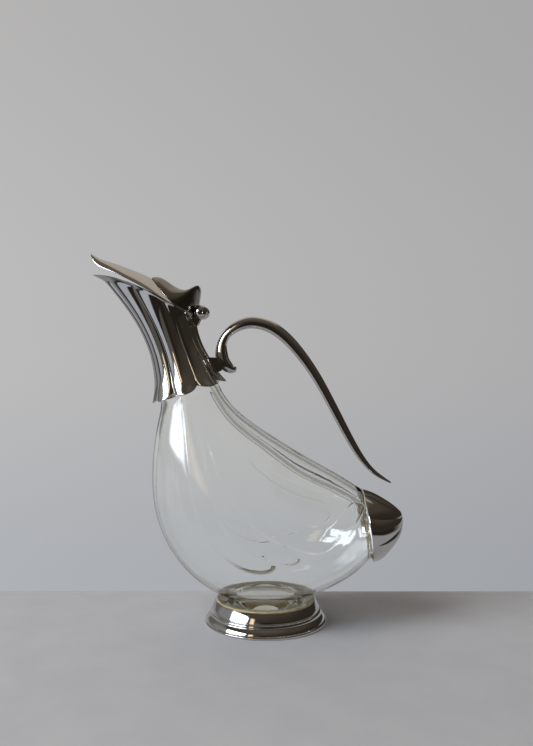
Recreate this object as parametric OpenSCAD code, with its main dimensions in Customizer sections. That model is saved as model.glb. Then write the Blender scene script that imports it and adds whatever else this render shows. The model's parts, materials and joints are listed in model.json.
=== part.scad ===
// Claret jug in the form of a water bird: a glass body on a round foot, a fluted
// neck mount that opens into a beak, a hinged lid, a scroll handle and a fluted
// tail cap. Millimetres, +Z up, origin on the table at the centre of the foot.
// The beak points to -X and the tail to +X; the jug is the same on both sides of Y = 0.

/* [Glass body] */
// Width across both wings
body_w = 100; // [90:1:112]
// Length from the breast to the rim of the tail cap
body_len = 166; // [150:1:180]
// Height of the neck mount's lower edge above the table, at its centre
shoulder_h = 176; // [160:1:195]
// Radius of the glass where it enters the neck mount
neck_r = 22.8; // [21:0.1:24]
// Length of the glass neck inside the mount
neck_in = 17; // [12:0.5:22]
// Half the height of the glass where it enters the tail cap
tail_r = 24.4; // [22:0.1:26]
// Thickness of the blown wall
glass_wall = 2.6; // [1.8:0.1:3.4]
// Thickness of the base under the flat inner floor
base_t = 12; // [9:0.5:14]
// Radius of the round pad that stands in the foot
pad_r = 36.5; // [33:0.5:39]

/* [Foot] */
// Radius of the foot on the table
foot_r = 46.5; // [44:0.5:52]
// Height of the metal foot
foot_h = 17; // [14:0.5:20]
// Thickness of the spun metal
foot_wall = 1.2; // [0.8:0.1:1.8]
// Width of the shelf that the pad sits on
shelf_w = 4.5; // [3:0.5:7]

/* [Neck mount] */
// Height of the mount from the centre of its lower edge to the tip of the beak
mount_h = 88; // [80:1:96]
// Thickness of the cast metal
mount_wall = 1.2; // [0.9:0.1:1.6]
// How far the eight petals of the lower edge flare out past the glass
petal_flare = 5.2; // [4.5:0.1:7]
// How far each petal hangs below the grooves beside it
petal_drop = 3.6; // [2:0.1:5]
// Width of the mouth at its middle
mouth_w = 41; // [36:0.5:46]

/* [Lid] */
// Thickness of the lid
lid_wall = 1.2; // [0.9:0.1:1.6]
// Gap between the lid and the rim that it closes on
lid_gap = 0.35; // [0.2:0.05:0.6]
// Height of the crest that lifts the lid, above the hinge axis
crest_h = 20.3; // [16:0.1:24]

/* [Hinge] */
// Radius of the three knuckles
knuckle_r = 3.4; // [3:0.1:3.8]
// Width of the middle knuckle, the lid's own
knuckle_w = 6; // [5:0.5:10]
// Width of each outer knuckle
side_knuckle_w = 3; // [2.5:0.5:5]
// Radius of the hinge pin
pin_r = 1.25; // [1:0.05:1.6]
// Radial running clearance of the lid's knuckle on the pin
pin_clear = 0.05; // [0.03:0.01:0.08]
// Gap between neighbouring knuckles
knuckle_gap = 0.25; // [0.15:0.05:0.4]
// Radius of the round finial on each end of the pin
finial_r = 5.1; // [4.4:0.1:6]

/* [Handle] */
// Thickness of the handle at the top of its bow
handle_t = 9; // [7:0.2:11]
// Width of the handle at the top of its bow
handle_w = 10.5; // [8:0.2:13]
// How far the handle reaches back from the neck mount
handle_reach = 134; // [120:1:146]
// Width of the block that joins the handle to the mount
bracket_w = 7; // [5:0.5:9]

/* [Tail cap] */
// Thickness of the cap
cap_wall = 1.2; // [0.9:0.1:1.6]
// Length of the cap from its rim to the point of its lobes
cap_len = 26.4; // [22:0.2:30]
// How far the cap's rim stands out around the glass at its sides
cap_over = 3.4; // [2.8:0.1:4.5]

/* [Cement] */
// Thickness of the cement between the pad and the foot
cement_t = 0.4; // [0.2:0.1:0.8]
// Height of the bead of cement squeezed out above the foot
bead_h = 1.1; // [0.5:0.1:2]

/* [Hidden] */

around = 48;              // points around a fluted or round section
step = 360 / around;
lobes = 8;                // petals of the neck mount, and lobes of the tail cap
silver = [0.78, 0.77, 0.75];
cement = [0.75, 0.65, 0.38];

// ---------- curves: a cubic B-spline that passes close by its stations ----------
function ctrl(P) = [for (i = [0:len(P) - 1])
    i == 0 || i == len(P) - 1 ? P[i] : P[i] - (P[i - 1] - 2 * P[i] + P[i + 1]) / 6];
function ends(C) = let (n = len(C) - 1)
    concat([2 * C[0] - C[1]], C, [2 * C[n] - C[n - 1]]);
function spline(P) = ends(ctrl(P));
function at(E, t) = let (m = len(E) - 3, c = min(max(t, 0), m), i = min(floor(c), m - 1), u = c - i)
    ((1 - u) ^ 3 * E[i] + (3 * u ^ 3 - 6 * u ^ 2 + 4) * E[i + 1]
     + (-3 * u ^ 3 + 3 * u ^ 2 + 3 * u + 1) * E[i + 2] + u ^ 3 * E[i + 3]) / 6;
function mix(a, b, t) = a + (b - a) * t;
function unit(v) = v / norm(v);
// A value that never falls below f, with a soft corner of width k
function soft_floor(v, f, k) = (v + f + sqrt((v - f) ^ 2 + k ^ 2)) / 2;
// 1 on the crest of each petal and 0 in the sharp groove between two
function petal(a) = abs(cos(lobes / 2 * a));

// ---------- solids from rings and grids of points ----------
// Rings of points, each as long as the next, closed at both ends by a fan round a point
module loft(R, first, last) {
    n = len(R[0]);
    k = len(R);
    pts = concat([for (r = R) each r], [first, last]);
    side = [for (i = [0:k - 2], j = [0:n - 1])
        let (a = i * n + j, b = i * n + (j + 1) % n) each [[a, a + n, b], [b, a + n, b + n]]];
    low = [for (j = [0:n - 1]) [j, (j + 1) % n, k * n]];
    high = [for (j = [0:n - 1]) let (o = (k - 1) * n) [o + j, k * n + 1, o + (j + 1) % n]];
    polyhedron(pts, concat(side, low, high));
}
// Rings of points joined to each other and the last to the first. turned splits each
// four-sided face the other way, so that two pieces that meet share one surface.
module loop_loft(R, turned = false) {
    n = len(R[0]);
    k = len(R);
    pts = [for (r = R) each r];
    faces = [for (i = [0:k - 1], j = [0:n - 1])
        let (i2 = (i + 1) % k, j2 = (j + 1) % n, a = i * n + j, b = i * n + j2, c = i2 * n + j, d = i2 * n + j2)
        each turned ? [[a, c, d], [a, d, b]] : [[a, c, b], [b, c, d]]];
    polyhedron(pts, faces);
}
// A closed plate between a lower and an upper grid of points
module plate(A, B) {
    k = len(A);
    n = len(A[0]);
    o = k * n;
    pts = concat([for (r = A) each r], [for (r = B) each r]);
    top = [for (i = [0:k - 2], j = [0:n - 2])
        let (a = i * n + j) each [[a, a + n, a + 1], [a + 1, a + n, a + n + 1]]];
    bottom = [for (f = top) [f[0] + o, f[2] + o, f[1] + o]];
    rows = [for (j = [0:n - 2], e = [0, 1])
        let (a = e * (k - 1) * n + j, b = a + 1)
        each e == 0 ? [[a, b, a + o], [b, b + o, a + o]] : [[a, a + o, b], [b, a + o, b + o]]];
    cols = [for (i = [0:k - 2], e = [0, 1])
        let (a = i * n + e * (n - 1), b = a + n)
        each e == 0 ? [[a, a + o, b], [b, a + o, b + o]] : [[a, b, a + o], [b, b + o, a + o]]];
    polyhedron(pts, concat(top, bottom, rows, cols));
}
// Where places are measured from: the centre of the mount's lower edge and of the cap's rim
kx = body_len / 166;
kz = (shoulder_h - foot_h) / 159;
function body_z(z) = foot_h + (z - 17) * kz;
neck = [-58 * kx, shoulder_h];
tail = [78.4 * kx, body_z(73.3)];

// ---------- glass body ----------
// Stations from the neck to the tail: back x, z, belly x, z, half the width
belly = body_w / 100;
neck_dir = unit([-16.8, 55.6]);                      // up the neck
neck_side = [neck_dir[1], -neck_dir[0]];             // from its axis to its back
tail_dir = unit([55.7, 8.3]);                        // out of the tail cap
tail_up = [-tail_dir[1], tail_dir[0]];
tail_c = tail + 1.1 * tail_up;
function neck_ring(s, r) = let (c = neck + s * neck_dir, b = c + r * neck_side, f = c - r * neck_side)
    [b[0], b[1], f[0], f[1], r];
function body_row(bx, bz, fx, fz, w) = [bx * kx, body_z(bz), fx * kx, body_z(fz), w];
BODY = spline([
    neck_ring(0, neck_r),
    neck_ring(-4, neck_r + 0.9),
    body_row(-25.3, 166.0, -84.0, 144.5, 27 * belly),
    body_row(-10.3, 153.0, -86.8, 115.6, 34.5 * belly),
    body_row(12.6, 137.7, -83.9, 81.5, 43 * belly),
    body_row(35.5, 124.0, -66.8, 46.0, 48.5 * belly),
    body_row(53.9, 113.9, -31.4, 18.7, 50 * belly),
    body_row(66.2, 106.2, 15.0, 15.4, 46.5 * belly),
    body_row(72.4, 101.8, 60.6, 32.0, 36 * belly),
    concat(tail_c + tail_r * tail_up, tail_c - tail_r * tail_up, [tail_r + 0.3])]);
body_rows = 10;
function section(S, a) = let (
    c = [(S[0] + S[2]) / 2, (S[1] + S[3]) / 2],
    h = [(S[0] - S[2]) / 2, (S[1] - S[3]) / 2],
    p = c + h * cos(a))
    [p[0], -S[4] * sin(a), p[1]];
function body_pt(t, a) = section(at(BODY, t), a);
function normal(t, a, e) = unit(cross(
    body_pt(t, a + 2) - body_pt(t, a - 2), body_pt(t + e, a) - body_pt(t - e, a)));
function body_in(t, a) = let (p = body_pt(t, a) - glass_wall * normal(t, a, 0.03))
    [p[0], p[1], soft_floor(p[2], pad_z + base_t, 1)];
function ring(S) = [for (i = [0:around - 1]) section(S, i * step)];
// The tail tapers inside its cap, then closes in a dome
function tail_ring(s, k, d) = let (c = tail_c + s * tail_dir - 0.35 * s * tail_up, r = k * tail_r - d)
    concat(c + r * tail_up, c - r * tail_up, [k * (tail_r + 0.3) - d]);
tail_in = 10;
tail_k = 0.8;
pad_z = foot_h - 8.2;
pad_h = foot_h + bead_h - 0.2 - pad_z;

module glass_outer() {
    rows = [for (t = [0:0.375:9.01]) [for (i = [0:around - 1]) body_pt(t, i * step)]];
    tip = tail_c + (tail_in + 6) * tail_dir - 5 * tail_up;
    top = neck + neck_in * neck_dir;
    R = concat([ring(neck_ring(neck_in, neck_top_r))], rows,
        [ring(tail_ring(tail_in, tail_k, 0)), ring(tail_ring(tail_in + 4.5, 0.5, 0))]);
    loft(R, [top[0], 0, top[1]], [tip[0], 0, tip[1]]);
}
module glass_hollow() {
    rows = [for (t = [0.3:0.45:8.85]) [for (i = [0:around - 1]) body_in(t, i * step)]];
    tip = tail_c + (tail_in + 6 - glass_wall) * tail_dir - 4 * tail_up;
    high = neck + (neck_in + 2) * neck_dir;
    R = concat([ring(neck_ring(neck_in + 2, neck_top_r - glass_wall)),
                ring(neck_ring(neck_in - 2, neck_top_r - glass_wall))], rows,
        [ring(tail_ring(tail_in - 1, tail_k, glass_wall)),
         ring(tail_ring(tail_in + 2.5, 0.5, glass_wall))]);
    loft(R, [high[0], 0, high[1]], [tip[0], 0, tip[1]]);
}
neck_top_r = neck_r - 4.8;

module glass_body() {
    color([0.8, 0.9, 0.88, 0.4])
    difference() {
        union() {
            glass_outer();
            translate([0, 0, pad_z])
                cylinder(r = pad_r, h = pad_h, $fn = 96);
        }
        glass_hollow();
        translate([0, 0, pad_z - 1])
            cylinder(r1 = pad_r - 7, r2 = pad_r - 10, h = 3, $fn = 96);
    }
}
// ---------- foot ----------
// The outline runs up the outside from the table and down the inside again
module foot() {
    r = foot_r;
    h = foot_h;
    top_r = pad_r + cement_t + 1.1;
    band_r = top_r + 3.4;
    color(silver)
    rotate_extrude($fn = 96)
        polygon([
            [r - 1.6, 0], [r - 0.5, 0.35], [r, 1.1], [r, 1.6], [r - 0.5, 2.2], [r - 1.2, 2.5],
            [r - 1.5, 3.4], [r - 2.1, 4.6], [r - 3.0, 5.8], [r - 3.9, h - 10.1],
            [r - 4.0, h - 9.3], [r - 4.3, h - 8.2], [r - 5.0, h - 7.7], [r - 5.7, h - 7.5],
            [band_r - 0.2, h - 7.1], [band_r - 0.8, h - 5.4], [band_r - 1.7, h - 3.4],
            [band_r - 2.6, h - 1.6], [top_r, h - 0.2], [top_r - 0.3, h],
            [pad_r + cement_t, h], [pad_r + cement_t, pad_z - cement_t],
            [pad_r - shelf_w, pad_z - cement_t], [pad_r - shelf_w, pad_z - cement_t - foot_wall],
            [r - 5.0 - foot_wall, pad_z - cement_t - foot_wall], [r - 3.9 - foot_wall, 5.6],
            [r - 2.6 - foot_wall, 3], [r - 1.8 - foot_wall, 0]]);
}

// ---------- neck mount ----------
// Rows from the lower edge to the lip of the mouth, measured from the neck: centre x, z, half
// its length, slope, half its width, depth of the petals, egg shape, bow of its rim, droop
mount_top = (mount_h - 15) / 73;
kn = neck_r / 22.8;
function mount_row(x, z, half, slope, w, petals, egg, bow) =
    [x, 15 + (z - 15) * mount_top, half * kn, slope, w * kn, petals, egg, bow, 0];
collar_r = neck_r + petal_flare + mount_wall;
MOUNT = spline([
    [0, 0, collar_r, 16.8, collar_r, 1 - (neck_r + 0.8) / collar_r, 0, 0, petal_drop],
    [-1.8, 6.2, neck_r + 3.3, 17.0, neck_r + 3.3, 0.12, 0, 0, petal_drop * 0.4],
    [-4.2, 15, neck_r + 0.4, 16.5, neck_r + 0.4, 0.1, 0, 0, 0],
    mount_row(-7.4, 25.4, 21.2, 11.3, 21.0, 0.1, 0.02, 0),
    mount_row(-10.3, 33.4, 20.7, 6.4, 19.8, 0.105, 0.05, 0),
    mount_row(-13.9, 42.7, 21.7, -0.5, 19.2, 0.105, 0.1, 0.1),
    mount_row(-18.3, 52.4, 24.7, -7.9, 19.0, 0.1, 0.18, 0.5),
    mount_row(-23.1, 61.3, 29.7, -14.4, 19.3, 0.095, 0.27, 1.2),
    [-28.1, 15 + 53.5 * mount_top, 35.7, -20.2, mouth_w / 2 - 0.5, 0.095, 0.35, 2.4, 0],
    [-30.3, 15 + 55.8 * mount_top, 38.2, -21.1, mouth_w / 2 - 0.3, 0.07, 0.38, 3, 0],
    [-33.8, 15 + 57.9 * mount_top, 41.9, -21.2, mouth_w / 2, 0, 0.4, 4, 0]]);
mount_rows = 10;
function fluted(S, a) = let (
    p = 1 - S[5] * (1 - pow(petal(a), 0.8)),
    along = S[2] * p * cos(a),
    lift = S[7] * sin(a) ^ 2 * (1 - cos(a)) + S[8] * (1 - pow(petal(a), 0.8)))
    [neck[0] + S[0] + along * cos(S[3]) - lift * sin(S[3]),
     -S[4] * p * sin(a) * (1 + S[6] * cos(a)),
     neck[1] + S[1] + along * sin(S[3]) + lift * cos(S[3])];
function mount_pt(t, a) = fluted(at(MOUNT, t), a);
function mount_in(t, a) = mount_pt(t, a) + mount_wall * unit(cross(
    mount_pt(t, a + 2) - mount_pt(t, a - 2), mount_pt(t + 0.03, a) - mount_pt(t - 0.03, a)));
function mount_ring(t) = [for (i = [0:around - 1]) mount_pt(t, i * step)];
// The lip is level across the thickness of the metal
function lip_in(a) = let (S = at(MOUNT, mount_rows))
    fluted([S[0], S[1], S[2] - mount_wall, S[3], S[4] - mount_wall, S[5], S[6], S[7], S[8]], a);
function mount_inner_ring(t) = [for (i = [0:around - 1])
    t == mount_rows ? lip_in(i * step) : mount_in(t, i * step)];
CEMENTED = [0.35, 0.6, 0.9, 1.25, 1.6];
MOUNT_T = concat([0, 0.15], CEMENTED, [2.1, 2.7, 3.4, 4.2, 5, 5.8, 6.6, 7.4, 8.1, 8.7, 9.2, 9.6, 10]);

module neck_mount() {
    color(silver)
    loop_loft(concat(
        [for (t = MOUNT_T) mount_inner_ring(t)],
        [for (i = [len(MOUNT_T) - 1:-1:0]) mount_ring(MOUNT_T[i])]));
}
// The mount without its bore, for fitting pieces to its outside
module mount_solid() {
    low = mount_pt(0, 0) / 2 + mount_pt(0, 180) / 2;
    high = mount_pt(mount_rows, 0) / 2 + mount_pt(mount_rows, 180) / 2;
    loft([for (i = [len(MOUNT_T) - 1:-1:0]) mount_ring(MOUNT_T[i])], high, low);
}
function neck_r_at(s) = mix(neck_r, neck_top_r, s / neck_in);
module neck_cement() {
    color(cement)
    loop_loft(concat(
        [for (i = [len(CEMENTED) - 1:-1:0]) mount_inner_ring(CEMENTED[i])],
        [ring(neck_ring(4.8, neck_r_at(4.8))), ring(neck_ring(12.5, neck_r_at(12.5)))]), turned = true);
}

// ---------- hinge ----------
mouth_back = mount_pt(mount_rows, 0);
hinge_x = mouth_back[0] + knuckle_r + 1.1;
hinge_z = mouth_back[2] + 2;
hinge_half = knuckle_w / 2 + knuckle_gap + side_knuckle_w;
ear_drop = knuckle_r + 6.4;        // from the hinge axis to the ears' lower end
module across_y(y0, y1, r) {
    translate([hinge_x, y1, hinge_z])
        rotate([90, 0, 0])
            cylinder(r = r, h = y1 - y0, $fn = 64);
}
// Turns an outline in X and Z, drawn from the hinge axis, into a block between y0 and y1
module side_block(y0, y1, points) {
    translate([hinge_x, y1, hinge_z])
        rotate([90, 0, 0])
            linear_extrude(y1 - y0)
                polygon(points);
}
// Two ears stand on the back of the mount, joined by a strap under the lid's knuckle
module hinge_base() {
    inner = knuckle_w / 2 + knuckle_gap;
    front = -knuckle_r - 2.2;
    clear = knuckle_r + knuckle_gap + 0.8;
    color(silver)
    difference() {
        union() {
            for (y = [-hinge_half, inner]) {
                across_y(y, y + side_knuckle_w, knuckle_r);
                side_block(y, y + side_knuckle_w,
                    [[0, 0], [knuckle_r * 0.8, -knuckle_r * 0.6], [-0.4, -knuckle_r - 0.9],
                     [-2.9, -ear_drop], [front, -ear_drop], [front, -3.7], [-knuckle_r * 0.95, -1.1]]);
            }
            side_block(-inner - 1, inner + 1,
                [[-1.6, -clear], [-2.7, -ear_drop + 0.4], [front, -ear_drop + 0.4], [front, -clear]]);
        }
        across_y(-hinge_half - 1, hinge_half + 1, pin_r);
        mount_solid();
    }
}
module hinge_pin() {
    reach = hinge_half + finial_r * 0.8;
    color(silver)
    across_y(-reach, reach, pin_r);
}
module finial() {
    seat = hinge_half;
    middle = seat + finial_r * 0.87;
    difference() {
        translate([hinge_x, middle, hinge_z])
            sphere(r = finial_r, $fn = 64);
        across_y(seat - finial_r, seat, finial_r + 1);
        across_y(0, hinge_half + finial_r * 0.8, pin_r);
        translate([hinge_x, middle + finial_r + 1.1, hinge_z])
            sphere(r = 2.2, $fn = 48);
    }
}
module hinge_finials() {
    color(silver) {
        finial();
        mirror([0, 1, 0]) finial();
    }
}

// ---------- lid ----------
// The lid has the plan of the mouth. It closes on the rim at the back, and its front
// lifts away from the beak to a point that curls up.
mouth = at(MOUNT, mount_rows);
mouth_slope = mouth[3];
lid_tip = 1.2;                     // how far the lid's point passes the beak
function plan_angle(u) = acos(max(-1, min(1, u)));
// u runs from 1 at the hinge to -1 at the point
function rim_half(u) = mouth[4] * sin(plan_angle(u)) * (1 + mouth[6] * u);
function rim_pt(u) = mount_pt(mount_rows, plan_angle(u));
// Along the lid: u, how far its rim lifts off the mouth, how far its crest stands above its rim
LID = spline([
    [0.985, 0, 3.6], [0.9, 0, 5.8], [0.7, 0.15, 7.2], [0.45, 0.4, 8.6], [0.2, 1, 9.6], [-0.05, 1.4, 9.2],
    [-0.3, 2.1, 8], [-0.52, 3.4, 6.9], [-0.72, 4.9, 6.2], [-0.86, 7.0, 5.2], [-0.95, 10.8, 3.6], [-1, 15, 0.9]]);
lid_rows = 11;
LID_T = [0, 0.4, 0.8, 1.3, 1.8, 2.3, 2.8, 3.3, 3.8, 4.3, 4.8, 5.4, 6, 6.6, 7.2, 7.8, 8.4, 9, 9.5, 10, 10.4, 10.75, 11];
crest_rows = 9;                    // rows of the lid that the lid's crest covers
half_cols = 7;
crest_cols = 5;
// Share of the lid's half width that the crest covers, row by row from the hinge
COVER = [0.97, 0.97, 0.97, 0.97, 0.97, 0.95, 0.88, 0.74, 0.5, 0.1];
function cover(i) = i <= crest_rows ? COVER[i] : min(0.7, 0.1 + (i - crest_rows) * 0.15);
function col(i, j) = let (k = abs(j) / crest_cols, c = cover(i), s = sign(j))
    s * (k <= 1 ? c * k : c + (1 - c) * (abs(j) - crest_cols) / (half_cols - crest_cols));
function lid_pt(i, v, inset) = let (
    L = at(LID, LID_T[i]), u = L[0], r = rim_pt(u),
    front = max(0, (-0.5 - u) / 0.5),
    w = max(0.5, rim_half(u) + 0.6 * front) - inset,
    dome = pow(max(0, 1 - v ^ 2), 0.6))
    [r[0] - lid_tip * front ^ 2, -w * v, r[2] + lid_gap + L[1] + max(0.3, L[2] - inset) * dome];
function lid_grid(inset) = [for (i = [0:len(LID_T) - 1])
    [for (j = [-half_cols:half_cols]) lid_pt(i, col(i, j), inset * min(1, (len(LID_T) - 0.6 - i) / 3))]];

module lid() {
    color(silver)
    plate(lid_grid(lid_wall), lid_grid(0));
}

// The crest is cast on a saddle that fits the lid. Its middle line runs from the hinge up
// its back, over its horn, down into the thumb rest and out to its front point.
CREST = [[-2.2, 5.2], [-1.4, 11.4], [-0.9, 17.2], [-2.5, 20.3], [-5.6, 18.9],
         [-10.4, 16.8], [-17.0, 17.9], [-24.2, 22.2], [-31.2, 26.6], [-37.2, 26.7]];
module lid_crest() {
    rise = crest_h / 20.3;
    edge = 0.7;
    under = [for (i = [0:crest_rows]) [for (j = [-crest_cols:crest_cols]) lid_pt(i, col(i, j), 0)]];
    over = [for (i = [0:crest_rows])
        [for (j = [-crest_cols:crest_cols])
            let (k = j / crest_cols, b = under[i][j + crest_cols], c = under[i][crest_cols],
                 bulge = pow(1 - abs(k) ^ 3, 0.6),
                 top = [hinge_x + CREST[i][0], 0, hinge_z + CREST[i][1] * rise])
            [mix(b[0], top[0], bulge), b[1],
             mix(b[2] + edge, max(top[2], c[2] + edge + 0.3), bulge)]]];
    color(silver)
    plate(under, over);
}
module lid_knuckle() {
    color(silver)
    difference() {
        union() {
            across_y(-knuckle_w / 2, knuckle_w / 2, knuckle_r);
            side_block(-knuckle_w / 2, knuckle_w / 2,
                [[0, 0], [0.6, knuckle_r - 0.1], [-1.5, knuckle_r + 1.9], [-knuckle_r - 3, knuckle_r + 0.6],
                 [-knuckle_r - 3, 0.6]]);
        }
        across_y(-knuckle_w, knuckle_w, pin_r + pin_clear);
        lid();
        lid_crest();
    }
}

// ---------- handle ----------
// From the curled lower end, up and over the bow, and down to the free end above the tail:
// x and z from the neck, thickness
bow = handle_t / 9;
reach = (handle_reach - 16) / 118;
function handle_row(x, z, t) = [18 + (x - 18) * reach, z, t * bow];
HANDLE = spline([
    handle_row(34.4, 16.1, 3.2), handle_row(32.1, 16.6, 6.3), handle_row(28.5, 19.4, 9.2),
    handle_row(25.6, 23.3, 9.8), handle_row(24.5, 29, 9.7), handle_row(24.9, 36, 7.5),
    handle_row(28.2, 42.7, 6.6), handle_row(34.5, 48.2, 7.8), handle_row(42.3, 51.4, 8.7),
    handle_row(50.2, 52, 9), handle_row(62, 48.8, 9), handle_row(74, 40.1, 8.7),
    handle_row(85.5, 27, 7.9), handle_row(97, 10.5, 7.2), handle_row(109, -11.4, 6.7),
    handle_row(120.8, -34, 6.2), handle_row(129.5, -48.6, 5.2), handle_row(138, -59.3, 3.9),
    handle_row(145.6, -65.2, 2.9), handle_row(153.4, -69.8, 1.2)]);
handle_rows = 19;
handle_pts = 16;
function handle_mid(t) = let (S = at(HANDLE, t)) [S[0], S[1]];
function handle_ring(t) = let (
    S = at(HANDLE, t), d = unit(handle_mid(t + 0.02) - handle_mid(t - 0.02)), n = [-d[1], d[0]],
    w = handle_w * pow(S[2] / handle_t, 0.7))
    [for (i = [0:handle_pts - 1])
        let (a = i * 360 / handle_pts, s = sin(a), full = pow(cos(a) ^ 2, 0.42),
             out = (cos(a) > 0 ? 0.66 : -0.34) * S[2] * full + 0.16 * S[2] * -1)
        [neck[0] + S[0] + n[0] * out, -w / 2 * s, neck[1] + S[1] + n[1] * out]];
module handle() {
    color(silver) {
        T = [for (t = [0:0.4:handle_rows - 0.1]) t];
        R = concat([for (t = T) handle_ring(min(max(t, 0.03), handle_rows - 0.03))],
            [handle_ring(handle_rows - 0.03)]);
        a = handle_mid(0);
        b = handle_mid(handle_rows);
        loft(R, [neck[0] + a[0], 0, neck[1] + a[1]], [neck[0] + b[0], 0, neck[1] + b[1]]);
    }
}
module handle_bracket() {
    color(silver)
    difference() {
        translate([neck[0], bracket_w / 2, neck[1]])
            rotate([90, 0, 0])
                linear_extrude(bracket_w)
                    polygon([[13, 26], [22, 25.6], [27, 19.5], [24.5, 15.6], [21.5, 14.6], [14, 19]]);
        mount_solid();
        handle();
    }
}

// ---------- tail cap ----------
// Rows from the rim to the point: along the axis, up from it, half its height and width, lobes
ka = cap_len / 26.4;
rim_half_h = tail_r + cap_over + 0.35;
function cap_row(d, u, half, w, depth) =
    [d * ka, u, half * rim_half_h / 28.15, w * rim_half_h / 28.15, depth];
CAP = spline([
    cap_row(0, 0, 28.15, 28, 0.02), cap_row(6.6, -1.2, 25.95, 26.2, 0.065),
    cap_row(13.2, -1.2, 21.1, 21.8, 0.08), cap_row(19.2, -0.9, 15.7, 16.2, 0.09),
    cap_row(24, -0.1, 9.9, 10.2, 0.1), cap_row(26.5, 1.9, 4.4, 4.6, 0.1)]);
cap_rows = 5;
function cap_pt(t, a) = let (
    S = at(CAP, t), p = 1 - S[4] * (1 - pow(petal(a), 0.8)),
    q = tail + S[0] * tail_dir + (S[1] + S[2] * p * cos(a)) * tail_up)
    [q[0], -S[3] * p * sin(a), q[1]];
function cap_in(t, a) = cap_pt(t, a) - cap_wall * unit(cross(
    cap_pt(t, a + 2) - cap_pt(t, a - 2), cap_pt(t + 0.03, a) - cap_pt(t - 0.03, a)));
CAP_T = [0, 0.2, 0.5, 0.9, 1.4, 1.9, 2.4, 2.9, 3.4, 3.9, 4.4];
CAP_CEMENT = [0.2, 0.5, 0.9];
module tail_cap() {
    tip = tail + 27.1 * ka * tail_dir + 2.9 * tail_up;
    under = tip - (cap_wall + 0.6) * tail_dir - 0.6 * tail_up;
    color(silver)
    loft(concat(
        [for (i = [len(CAP_T) - 1:-1:0]) [for (k = [0:around - 1]) cap_in(CAP_T[i], k * step)]],
        [for (t = CAP_T) [for (k = [0:around - 1]) cap_pt(t, k * step)]],
        [[for (k = [0:around - 1]) cap_pt(cap_rows, k * step)]]),
        [under[0], 0, under[1]], [tip[0], 0, tip[1]]);
}
function tail_section(s) = ring(tail_ring(s, mix(1, tail_k, s / tail_in), 0));
module tail_cement() {
    color(cement)
    loop_loft(concat(
        [for (t = CAP_CEMENT) [for (k = [0:around - 1]) cap_in(t, k * step)]],
        [tail_section(6), tail_section(1.6)]), turned = true);
}

// ---------- cement under and around the pad ----------
module foot_cement() {
    a = pad_r + 0.04;
    b = pad_r + cement_t;
    inner = pad_r - shelf_w + 0.4;
    color(cement)
    rotate_extrude($fn = 96)
        polygon([
            [inner, pad_z - cement_t], [b, pad_z - cement_t], [b, foot_h],
            [b + 0.5, foot_h], [b + 0.45, foot_h + bead_h * 0.5], [b, foot_h + bead_h * 0.9],
            [a, foot_h + bead_h], [a, pad_z], [inner, pad_z]]);
}

glass_body();
foot();
foot_cement();
neck_mount();
neck_cement();
hinge_base();
hinge_pin();
hinge_finials();
lid();
lid_knuckle();
lid_crest();
handle();
handle_bracket();
tail_cap();
tail_cement();
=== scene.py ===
import json
from math import radians

import bmesh
import bpy
import numpy as np
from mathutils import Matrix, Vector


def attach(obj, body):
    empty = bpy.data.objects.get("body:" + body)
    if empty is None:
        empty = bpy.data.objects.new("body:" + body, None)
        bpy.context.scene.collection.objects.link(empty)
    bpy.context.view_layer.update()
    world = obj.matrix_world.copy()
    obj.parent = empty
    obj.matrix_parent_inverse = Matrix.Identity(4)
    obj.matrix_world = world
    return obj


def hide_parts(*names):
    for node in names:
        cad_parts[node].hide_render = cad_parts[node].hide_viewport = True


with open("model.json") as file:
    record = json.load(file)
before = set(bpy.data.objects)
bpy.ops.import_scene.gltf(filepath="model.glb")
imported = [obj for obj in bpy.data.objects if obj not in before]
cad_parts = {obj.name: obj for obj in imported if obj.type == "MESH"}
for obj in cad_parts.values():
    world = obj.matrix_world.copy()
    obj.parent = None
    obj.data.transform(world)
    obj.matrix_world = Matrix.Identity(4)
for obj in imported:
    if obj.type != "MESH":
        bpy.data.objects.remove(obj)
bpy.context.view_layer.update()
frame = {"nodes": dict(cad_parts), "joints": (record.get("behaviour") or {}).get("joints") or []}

# Claret jug in the form of a water bird. Lengths are in millimetres until a mesh is made;
# beak to -X, tail to +X, +Z up, origin on the table at the centre of the foot.
MM = 0.001
LOBES = 8                       # petals of the neck mount, and lobes of the tail cap
FINE = 320                      # points around a fluted or round section
CAMERA = (0.00076, -0.6237, 0.2135)             # in metres
TILT = 2.17                                     # degrees below the horizon


# ---------- curves ----------
def unit(v):
    return v / np.linalg.norm(v, axis=-1, keepdims=True)


def spline(stations):
    """A cubic B-spline that passes close by its stations, as its control points."""
    p = np.array(stations, float)
    c = p.copy()
    c[1:-1] -= (p[:-2] - 2 * p[1:-1] + p[2:]) / 6
    return np.vstack([2 * c[0] - c[1], c, 2 * c[-1] - c[-2]])


def at(curve, t):
    """Points of a spline at t, which counts its stations from 0."""
    t = np.asarray(t, float)
    last = len(curve) - 3
    t = np.clip(t, 0, last)
    i = np.minimum(np.floor(t).astype(int), last - 1)
    u = (t - i)[..., None]
    return ((1 - u) ** 3 * curve[i] + (3 * u ** 3 - 6 * u ** 2 + 4) * curve[i + 1]
            + (-3 * u ** 3 + 3 * u ** 2 + 3 * u + 1) * curve[i + 2] + u ** 3 * curve[i + 3]) / 6


def smooth_step(low, high, v):
    u = np.clip((v - low) / (high - low), 0, 1)
    return u * u * (3 - 2 * u)


def soft_floor(v, floor, width):
    return (v + floor + np.sqrt((v - floor) ** 2 + width ** 2)) / 2


def petal(a):
    """1 on the crest of each lobe and 0 in the sharp groove between two."""
    return np.abs(np.cos(np.radians(LOBES / 2 * a)))


def turn(n=FINE):
    return np.arange(n) * 360 / n


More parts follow.
